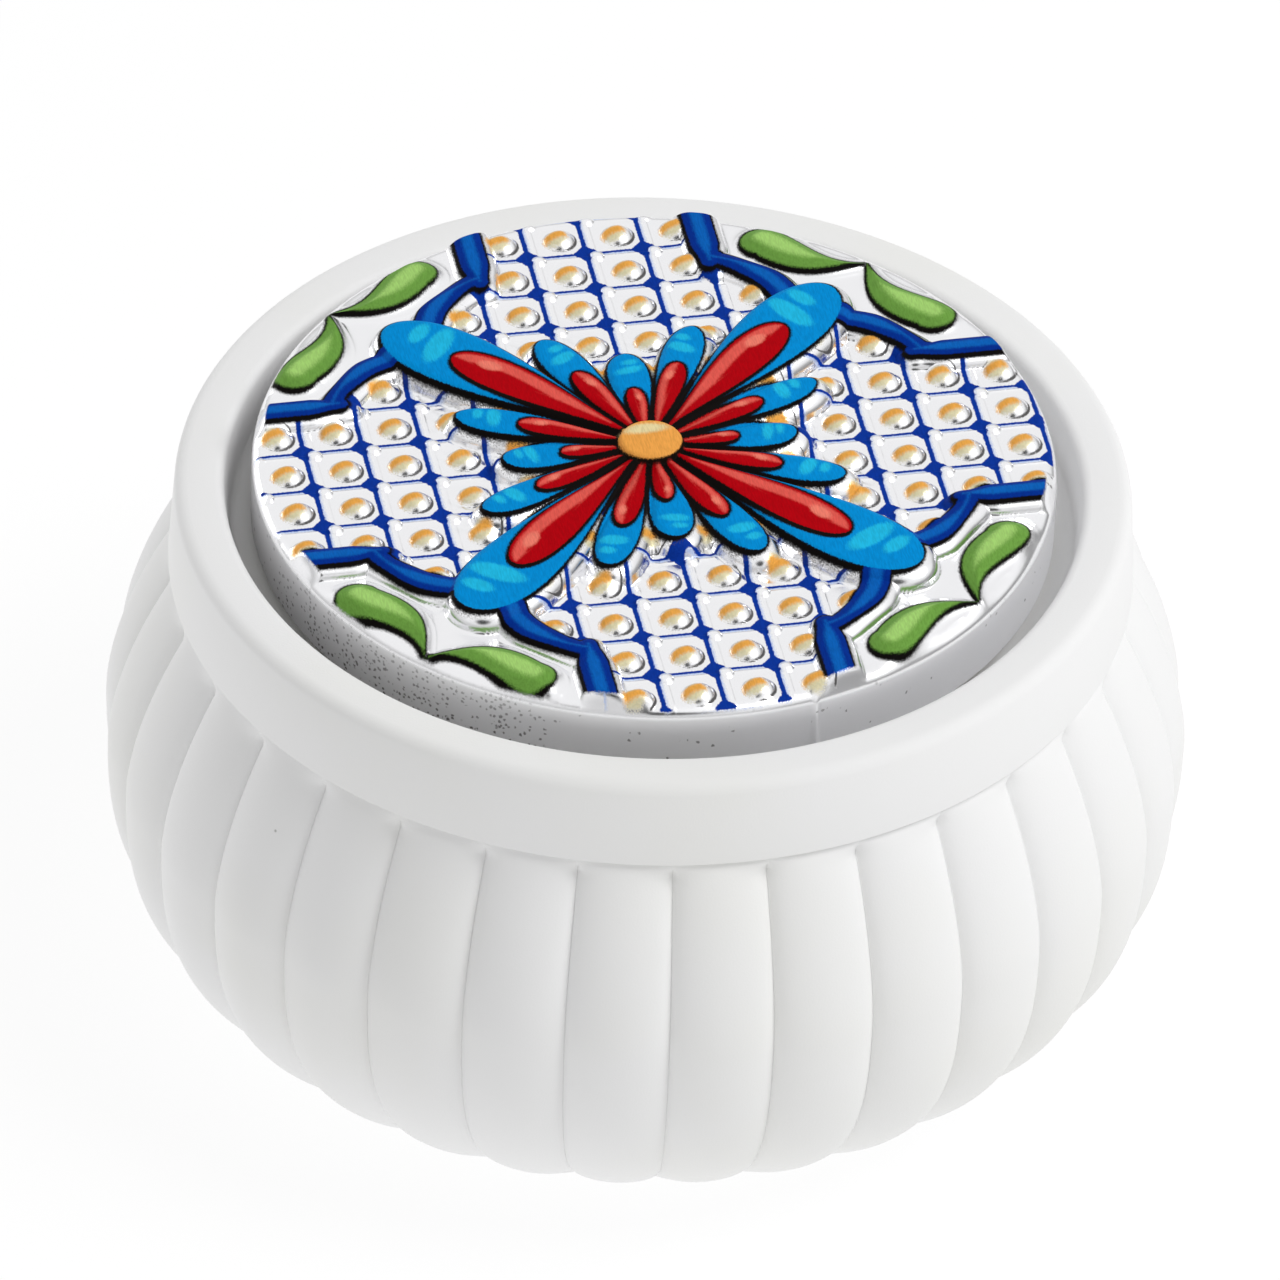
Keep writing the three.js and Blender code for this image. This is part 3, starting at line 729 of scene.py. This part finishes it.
# Print: colour inks laid on the flat silver before it was pressed. The press struck a little to one side, so
# bare silver shows beside each form. Each ink is a signed distance, kept on the mesh as a layer of its own,
# which the material turns into an even, dull colour with a fuzzy edge and a fine upright hatch.
# Two layers are not print: painted shade between the petals near the boss, and a painted dark reflection at
# the foot of each dome.
OUTLINE = 0.23
SHADE_SHIFT = (-0.15, -0.32)
SHADE_OUTLINE = 0.2
SMOKE = dict(shift=(-0.3, -0.5), spread=0.05)
FRINGE_SHIFT = (0.16, -0.14)
# Painted shade between the petals near the boss, fading out from start to end.
GAP_SHADE = dict(width=0.8, start=6, end=11)
LINE_UPRIGHT = 0.38
LINE_LEVEL = 0.26
JUNCTION = 1.1
DOME_INK = dict(radius=0.88, shift=(0.16, -0.52))
DOME_ORANGE = dict(up=0.18, slope=0.15, half_width=0.45)
# Painted reflection: a thin dark arc at the right of each dome's foot, laid in as one more layer with the
# inks.
DOME_REFLECTION_ARC = dict(outer=1.33, inner=1.28, shift=(-0.13, 0.05))
BEAD_BARE = 0.5
PRINT_EDGE = 0.3
BAND_END = 30.0  # from the plaque's middle
CYAN_INSET = 0.3
NOWHERE = 9  # a distance far outside an ink
BAND_LIGHT = 0.28
LEAF_LIGHT = 0.5
BOSS_LIGHT = dict(at=0.45, up=-0.08, length=0.25, width=0.68, turn=0)
LONG_LIGHT = dict(at=0.81, up=0.06, length=0.036, width=0.35, turn=radians(-12))
TIP_LIGHT = dict(at=0.895, up=0.12, length=0.026, width=0.2, turn=radians(-8))
RED_LIGHT = dict(edge=0.08, depth=0.36, root=0.2)
RED_GLINT = dict(at=0.835, up=0.16, length=0.055, width=0.15, turn=radians(-10))


def ellipse_distance(forward, aside, tip, width, light):
    """Distance to an oval highlight, at a share of the petal's length and above its middle line."""
    dx, dy = forward - light["at"] * tip, aside - light["up"] * width
    along = dx * cos(light["turn"]) + dy * sin(light["turn"])
    over = dy * cos(light["turn"]) - dx * sin(light["turn"])
    length, height = light["length"] * tip, light["width"] * width
    return (np.hypot(along / length, over / height) - 1) * min(length, height)


def in_cell(x, y, shift):
    """The place to the right of its cell's middle and above it, and whether the cell is on the cross."""
    x, y = x - shift[0], y - shift[1]
    cell_x, cell_y, on_cross = cell_place(*in_sector(x, y))
    upright = abs(y) > abs(x)
    right = np.where(upright, cell_x, cell_y) * np.sign(x)
    up = np.where(upright, cell_y, cell_x) * np.sign(y)
    return right, up, on_cross


def ink_distances(x, y):
    """Signed distances, in millimetres, to the printed areas and to painted shade and painted reflection, by
    name.
    """
    past_band = np.hypot(x, y) - BAND_END
    x, y = on_tile(x, y)
    along, across = in_sector(x, y)
    shade = in_sector(x - SHADE_SHIFT[0], y - SHADE_SHIFT[1])
    smoke = in_sector(x - SMOKE["shift"][0], y - SMOKE["shift"][1])
    upwards = np.sign(y) * np.where(abs(x) > abs(y), 1, -1)
    centre = np.hypot(x, y)
    blue = np.minimum.reduce(whole_petals(along, across))
    reds = inner_petals(along, across)
    red = np.minimum.reduce(reds)
    cyan, salmon, glint = [], [], []
    for (petal, forward, aside), distance in zip(petal_axes(along, across), reds):
        above = np.where(abs(y) > abs(x), x, y) if petal is SMALL_PETAL else aside * upwards
        for light in (LONG_LIGHT, TIP_LIGHT):
            cyan.append(ellipse_distance(forward, above, petal["tip"], petal["width"], light))
        share = forward / petal["inner_tip"]
        inset = -distance / petal["inner_width"]
        root_end = (RED_LIGHT["root"] - share) * petal["inner_tip"]
        streak = np.maximum(RED_LIGHT["edge"] - inset, inset - RED_LIGHT["depth"]) * petal["inner_width"]
        salmon.append(np.maximum.reduce([streak, -above, root_end]))
        glint.append(ellipse_distance(forward, above, petal["inner_tip"], petal["inner_width"], RED_GLINT))
    band = band_distance(along, across)
    band_outline = np.minimum(band - OUTLINE, band_distance(*shade) - SHADE_OUTLINE)
    leaf = leaf_distance(along, across)
    leaf_outline = np.minimum(leaf - OUTLINE, leaf_distance(*shade) - SHADE_OUTLINE)
    petal_outline = np.minimum(blue - OUTLINE, np.minimum.reduce(whole_petals(*shade)) - SHADE_OUTLINE)
    smoke_forms = np.minimum.reduce(whole_petals(*smoke))
    # Painted shade: the ground between the petals is blackened, most near the boss.
    gap = blue - GAP_SHADE["width"] * (1 - smoothstep(centre, GAP_SHADE["start"], GAP_SHADE["end"]))
    on_cross = in_arm(along, across)
    to_line_x, to_line_y = to_lines(along, across)
    upright_arm = abs(y) > abs(x)
    arm_line = to_line_x - np.where(upright_arm, LINE_UPRIGHT, LINE_LEVEL) / 2
    cross_line = to_line_y - np.where(upright_arm, LINE_LEVEL, LINE_UPRIGHT) / 2
    junction = (to_line_x + to_line_y - JUNCTION) / sqrt(2)
    lattice = np.minimum.reduce([arm_line, cross_line, junction])
    to_bead = np.hypot(*to_lines(*in_sector(x - BEAD_SHIFT[0], y - BEAD_SHIFT[1])))
    lattice = np.maximum.reduce([lattice, BEAD_BARE - to_bead, -band])
    fringe_x, fringe_y = to_lines(*in_sector(x - FRINGE_SHIFT[0], y - FRINGE_SHIFT[1]))
    fringe = np.minimum(fringe_x, fringe_y) - LINE_LEVEL / 2
    right, up, has_spot = in_cell(x, y, DOME_INK["shift"])
    spot = np.hypot(right, up) - DOME_INK["radius"]
    streak = abs(up - DOME_ORANGE["slope"] * right - DOME_ORANGE["up"]) - DOME_ORANGE["half_width"]
    right, up, has_dome = in_cell(x, y, DOME_SHIFT)
    # The dark arc at each dome's foot is a painted reflection.
    past_inner = DOME_REFLECTION_ARC["inner"] - np.hypot(right - DOME_REFLECTION_ARC["shift"][0], up - DOME_REFLECTION_ARC["shift"][1])
    dome_reflection_arc = np.maximum(np.hypot(right, up) - DOME_REFLECTION_ARC["outer"], past_inner)
    return {
        "ink_fringe": np.where(on_cross, fringe, NOWHERE),
        "ink_lattice": np.where(on_cross, lattice, NOWHERE),
        "ink_olive": np.where(has_spot, spot, NOWHERE),
        "ink_orange": np.where(has_spot, np.maximum(spot, streak), NOWHERE),
        "painted_dome_reflection_arc": np.where(has_dome, dome_reflection_arc, NOWHERE),
        "painted_gap_shade": gap,
        "ink_smoke": smoke_forms - SMOKE["spread"],
        "ink_outline": np.minimum.reduce([petal_outline, leaf_outline, np.maximum(band_outline, past_band)]),
        "ink_band": np.maximum(band, past_band),
        "ink_band_light": np.maximum(band + BAND_LIGHT * BAND["width"], past_band),
        "ink_leaf": leaf,
        "ink_leaf_light": leaf + LEAF_LIGHT * LEAF["radius"],
        "ink_blue": blue,
        "ink_cyan": np.maximum(np.minimum.reduce(cyan), blue + CYAN_INSET),
        "ink_red_outline": np.minimum(
            red - OUTLINE, np.minimum.reduce(inner_petals(*shade)) - SHADE_OUTLINE
        ),
        "ink_red": red,
        "ink_salmon": np.minimum.reduce(salmon),
        "ink_glint": np.minimum.reduce(glint),
        "ink_boss_outline": centre - BOSS["radius"] - OUTLINE,
        "ink_boss": centre - BOSS["radius"],
        "ink_boss_light": ellipse_distance(y, x, BOSS["radius"], BOSS["radius"], BOSS_LIGHT),
    }


# Each ink with its colour, how soft and how ragged its edge is in millimetres, and how well it covers.
# A later ink lies over the earlier ones.
INKS = [
    ("ink_fringe", "9db9ee", 0.4, 0.10, 0.85),
    ("ink_lattice", "0c379c", 0.08, 0.05, 1),
    ("ink_olive", "d9cd92", 0.45, 0.16, 0.75),
    ("ink_orange", "f2aa46", 0.5, 0.12, 0.95),
    # painted reflection, not print: the dark arc at each dome's foot
    ("painted_dome_reflection_arc", "26221f", 0.08, 0.03, 0.9),
    # painted shade, not print: black between the petals near the boss
    ("painted_gap_shade", "181413", 0.5, 0.15, 1),
    ("ink_smoke", "55504c", 0.3, 0.4, 0.6),
    ("ink_outline", "0e0b0a", 0.26, 0.07, 1),
    ("ink_band", "033090", 0.14, 0.06, 1),
    ("ink_band_light", "0a62ba", 0.45, 0.10, 1),
    ("ink_leaf", "6fa046", 0.25, 0.08, 1),
    ("ink_leaf_light", "a6d474", 0.7, 0.12, 1),
    ("ink_blue", "028fd8", 0.12, 0.07, 1),
    ("ink_cyan", "22bbe6", 0.35, 0.10, 1),
    ("ink_red_outline", "0e0b0a", 0.22, 0.07, 1),
    ("ink_red", "b4010e", 0.12, 0.06, 1),
    ("ink_salmon", "e65c52", 0.35, 0.07, 1),
    ("ink_glint", "f4826f", 0.3, 0.07, 0.95),
    ("ink_boss_outline", "17100c", 0.25, 0.07, 1),
    ("ink_boss", "f2a850", 0.12, 0.05, 1),
    ("ink_boss_light", "ead9a4", 0.5, 0.10, 1),
]

SILVER_COLOUR = linear("f4f4f6")
# The drawn wall's duller grey, with painted shade that darkens it towards the left, away from the lamp at the
# right.
WALL_SHADED_AND_LIT_TONES = (linear("b6b5b6"), linear("ececee"))  # left and right
TARNISH_COLOUR = linear("3c3733")
FACE_ROUGHNESS, WALL_ROUGHNESS, INK_ROUGHNESS = 0.21, 0.5, 0.5
WALL_METAL = 0.52
INK_SPECULAR = 0.02
EDGE_GRAIN = dict(size=1 / 12, stretch=0.35, gain=4)
HATCH = dict(size=1 / 9, stretch=0.15, low=0.35, high=0.65, dark=0.9, light=1.08)
SPECK = dict(size=10 / 27, wobble_size=1 / 5, wobble=0.7, full=0.6, end=0.78, strength=0.95)
SPECK_PATCH = dict(size=100 / 42, gain=-1.6, slant=0.85)
SPECKS_BEGIN = dict(at=-34, rarity=1.9)  # where the specks set in, towards the front left
SPECKS_FULL = dict(at=-40, rarity=1.25)  # where they are densest
DENT_SIZE = 10 / 9
DENT_DEPTH = 0.04

# Fine silver with a satin polish, and matt inks on it. The eye sees bright, wavy reflections on the face, a
# duller and greyer wall where the sheet was drawn, with painted shade that darkens it towards the left, away
# from the lamp, and on that wall small tarnished specks at the front left.
silver, tree, shader = new_material("printed_silver_sheet", SILVER_COLOUR, FACE_ROUGHNESS)
shader.inputs["Specular IOR Level"].default_value = INK_SPECULAR
place = add_node(tree, "ShaderNodeTexCoord").outputs["Object"]
on_plaque = add_node(
    tree, "ShaderNodeMapping", {"Vector": place, "Rotation": (0, 0, -PLAQUE_TURN)}
).outputs[0]
strokes = add_node(
    tree, "ShaderNodeMapping", {"Vector": on_plaque, "Scale": (1, EDGE_GRAIN["stretch"], 1)}
).outputs[0]
ragged = add_node(
    tree, "ShaderNodeTexNoise", {"Vector": strokes, "Scale": per_metre(EDGE_GRAIN["size"]), "Detail": 2}
).outputs[0]
centred = add_node(tree, "ShaderNodeMath", {0: ragged, 1: 0.5}, operation="SUBTRACT").outputs[0]
hatch_lines = add_node(
    tree, "ShaderNodeMapping", {"Vector": on_plaque, "Scale": (1, HATCH["stretch"], 1)}
).outputs[0]
hatch = add_node(
    tree, "ShaderNodeTexNoise", {"Vector": hatch_lines, "Scale": per_metre(HATCH["size"]), "Detail": 1}
).outputs[0]
hatch_shade = add_node(
    tree,
    "ShaderNodeMapRange",
    {"Value": hatch, 1: HATCH["low"], 2: HATCH["high"], 3: HATCH["dark"], 4: HATCH["light"]},
).outputs[0]
wall = add_node(tree, "ShaderNodeAttribute", attribute_name="drawn_wall").outputs["Fac"]
side = add_node(tree, "ShaderNodeSeparateXYZ", {0: place}).outputs
# Painted shade: the wall's colour goes from the shaded tone at the left to the lit tone at the right.
towards_lit_side = add_node(tree, "ShaderNodeMapRange", {"Value": side["X"], 1: -30 * MM, 2: 30 * MM}).outputs[0]
wall_tone_and_shade = add_node(
    tree, "ShaderNodeMix", {0: towards_lit_side, 6: WALL_SHADED_AND_LIT_TONES[0], 7: WALL_SHADED_AND_LIT_TONES[1]}, data_type="RGBA"
).outputs[2]
colour = add_node(
    tree, "ShaderNodeMix", {0: wall, 6: SILVER_COLOUR, 7: wall_tone_and_shade}, data_type="RGBA"
).outputs[2]
front_left = add_node(
    tree, "ShaderNodeMath", {0: side["X"], 1: SPECK_PATCH["slant"], 2: side["Y"]}, operation="MULTIPLY_ADD"
).outputs[0]
rarity = add_node(
    tree,
    "ShaderNodeMapRange",
    {
        "Value": front_left,
        1: SPECKS_BEGIN["at"] * MM,
        2: SPECKS_FULL["at"] * MM,
        3: SPECKS_BEGIN["rarity"],
        4: SPECKS_FULL["rarity"],
    },
).outputs[0]
patches = add_node(
    tree, "ShaderNodeTexNoise", {"Vector": place, "Scale": per_metre(SPECK_PATCH["size"]), "Detail": 1}
).outputs[0]
threshold = add_node(
    tree, "ShaderNodeMath", {0: patches, 1: SPECK_PATCH["gain"], 2: rarity}, operation="MULTIPLY_ADD"
).outputs[0]
wobble = add_node(
    tree, "ShaderNodeTexNoise", {"Vector": place, "Scale": per_metre(SPECK["wobble_size"]), "Detail": 1}
).outputs[0]
cells = add_node(
    tree, "ShaderNodeTexVoronoi", {"Vector": place, "Scale": per_metre(SPECK["size"])}
).outputs
from_speck = add_node(
    tree, "ShaderNodeMath", {0: wobble, 1: SPECK["wobble"], 2: cells["Distance"]}, operation="MULTIPLY_ADD"
).outputs[0]
dot = add_node(
    tree,
    "ShaderNodeMapRange",
    {"Value": from_speck, 1: SPECK["full"], 2: SPECK["end"], 3: SPECK["strength"], 4: 0},
).outputs[0]
chance = add_node(tree, "ShaderNodeSeparateColor", {0: cells["Color"]}).outputs[0]
tarnished = add_node(tree, "ShaderNodeMath", {0: chance, 1: threshold}, operation="GREATER_THAN").outputs[0]
speck = add_node(tree, "ShaderNodeMath", {0: dot, 1: tarnished}, operation="MULTIPLY").outputs[0]
speck_on_wall = add_node(tree, "ShaderNodeMath", {0: speck, 1: wall}, operation="MULTIPLY").outputs[0]
colour = add_node(
    tree, "ShaderNodeMix", {0: speck_on_wall, 6: colour, 7: TARNISH_COLOUR}, data_type="RGBA"
).outputs[2]
covered = 0
for name, code, softness, raggedness, strength in INKS:
    distance = add_node(tree, "ShaderNodeAttribute", attribute_name=name).outputs["Fac"]
    uneven = add_node(
        tree,
        "ShaderNodeMath",
        {0: centred, 1: EDGE_GRAIN["gain"] * raggedness, 2: distance},
        operation="MULTIPLY_ADD",
    ).outputs[0]
    inked = add_node(
        tree,
        "ShaderNodeMapRange",
        {"Value": uneven, 1: softness / 2, 2: -softness / 2, 3: 0, 4: strength},
        interpolation_type="SMOOTHSTEP",
    ).outputs[0]
    colour = add_node(
        tree, "ShaderNodeMix", {0: inked, 6: colour, 7: linear(code)}, data_type="RGBA"
    ).outputs[2]
    covered = add_node(tree, "ShaderNodeMath", {0: covered, 1: inked}, operation="MAXIMUM").outputs[0]
inked_colour = add_node(
    tree, "ShaderNodeMix", {0: covered, 6: colour, 7: hatch_shade}, data_type="RGBA", blend_type="MULTIPLY"
).outputs[2]
tree.links.new(inked_colour, shader.inputs["Base Color"])
dulled = add_node(tree, "ShaderNodeMapRange", {"Value": wall, 1: 0, 2: 1, 3: 1, 4: WALL_METAL}).outputs[0]
metal = add_node(tree, "ShaderNodeMapRange", {"Value": covered, 1: 0, 2: 1, 3: dulled, 4: 0}).outputs[0]
tree.links.new(metal, shader.inputs["Metallic"])
satin = add_node(
    tree, "ShaderNodeMapRange", {"Value": wall, 1: 0, 2: 1, 3: FACE_ROUGHNESS, 4: WALL_ROUGHNESS}
).outputs[0]
rough = add_node(tree, "ShaderNodeMix", {"Factor": covered, 2: satin, 3: INK_ROUGHNESS}).outputs[0]
tree.links.new(rough, shader.inputs["Roughness"])
dents = add_node(
    tree, "ShaderNodeTexNoise", {"Vector": place, "Scale": per_metre(DENT_SIZE), "Detail": 3}
).outputs[0]
bump = add_node(tree, "ShaderNodeBump", {"Height": dents, "Strength": 0.25, "Distance": DENT_DEPTH * MM})
tree.links.new(bump.outputs[0], shader.inputs["Normal"])

for quarter in range(4):
    bm = quarter_of_sheet.copy()
    turned = Matrix.Rotation(PLAQUE_TURN + quarter * pi / 2, 3, "Z")
    bmesh.ops.rotate(bm, verts=bm.verts, cent=(0, 0, 0), matrix=turned)
    name = f"embossed_silver_quarter_{quarter + 1}"
    sheet = finished_piece(bm, name, silver, "lid_body", ["plaque_skin"])
    x, y, z = points_of(sheet)
    radius = np.hypot(x, y)
    on_face = z > ground_level - SKIN + FACE_MARGIN
    fade = np.where(on_face, smoothstep(radius, *(plaque_radius - width for width in RELIEF_FADE[::-1])), 0)
    ink = ink_distances(x, y)
    past_print = np.where(on_face, radius - (plaque_radius - PRINT_EDGE), NOWHERE)
    wall = smoothstep(ground_level - z, *WALL_BEGINS)
    from_fold = abs(np.arctan2(x, -y) - FOIL_FOLD["turn"]) * plaque_radius / FOIL_FOLD["width"]
    on_outside = radius > plaque_radius - SKIN / 2
    fold = 1 + FOIL_FOLD["height"] / plaque_radius * np.exp(-from_fold**2) * wall * on_outside
    move_points(sheet, x * fold, y * fold, z + relief(x, y) * fade)
    for ink_name, distance in ink.items():
        layer = sheet.data.attributes.new(ink_name, "FLOAT", "POINT")
        layer.data.foreach_set("value", np.maximum(distance, past_print).astype(np.float32))
    layer = sheet.data.attributes.new("drawn_wall", "FLOAT", "POINT")
    layer.data.foreach_set("value", wall.astype(np.float32))
